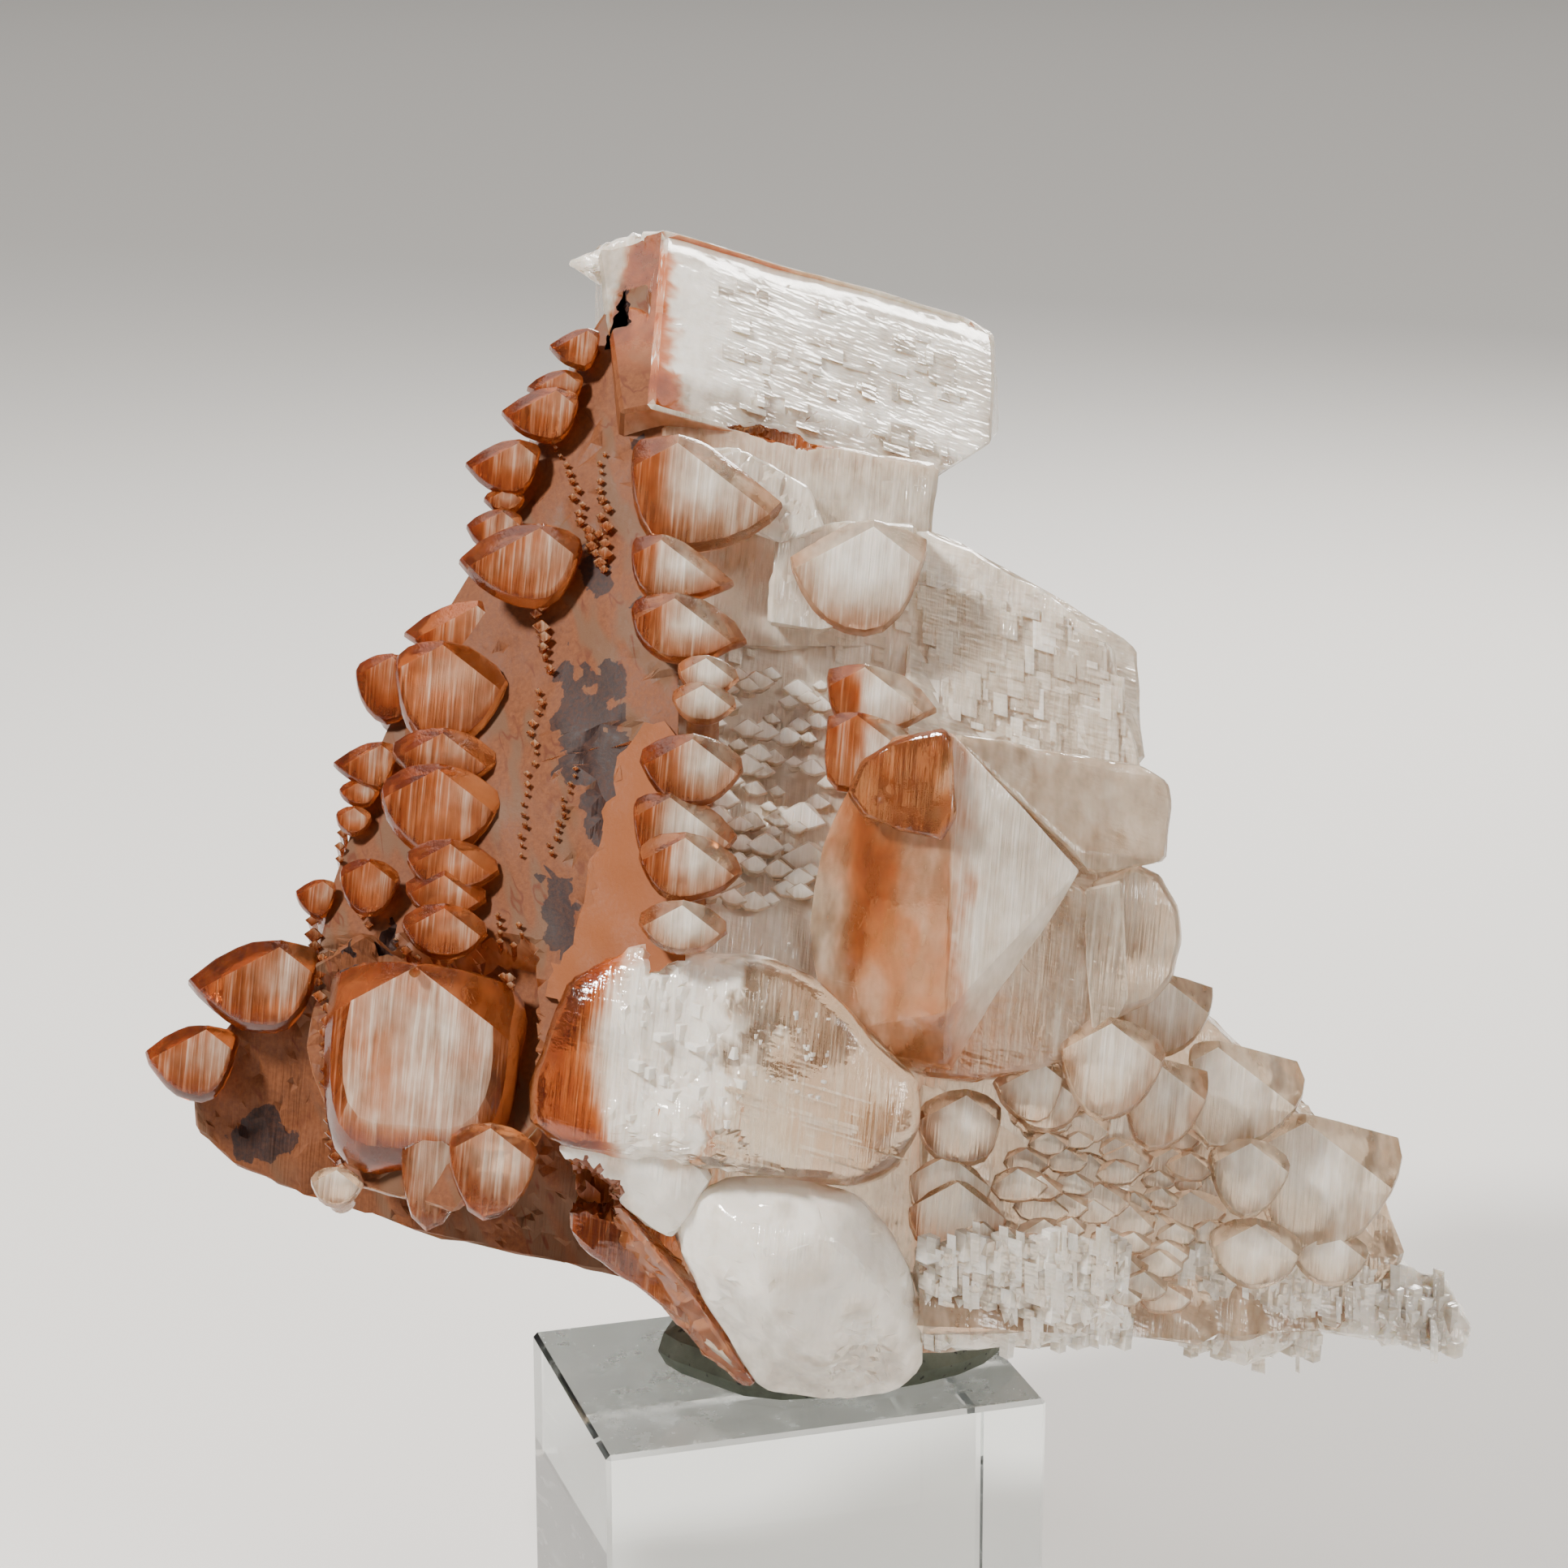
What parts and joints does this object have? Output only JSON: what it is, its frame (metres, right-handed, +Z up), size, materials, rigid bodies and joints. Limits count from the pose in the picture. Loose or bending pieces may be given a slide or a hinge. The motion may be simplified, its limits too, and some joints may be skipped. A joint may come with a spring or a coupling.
{
  "type": "calcite and hematite cluster",
  "caption": "Mineral specimen of parallel nailhead calcite crystals tinted by hematite, set in putty on a clear display block.",
  "frame": {"origin": "centre of the display block's underside", "axes": "+Z up, +X to the right and -Y towards the viewer on the specimen's showing side"},
  "size_m": [0.0908, 0.058, 0.0961],
  "materials": {
    "calcite": "milky to clear calcite, tinted orange to rust by hematite",
    "putty": "matte grey-green mounting putty",
    "acrylic": "clear polished acrylic"
  },
  "bodies": {
    "root": {"calcite_cluster": "calcite", "putty_pad": "putty", "acrylic_block": "acrylic"}
  },
  "joints": []
}
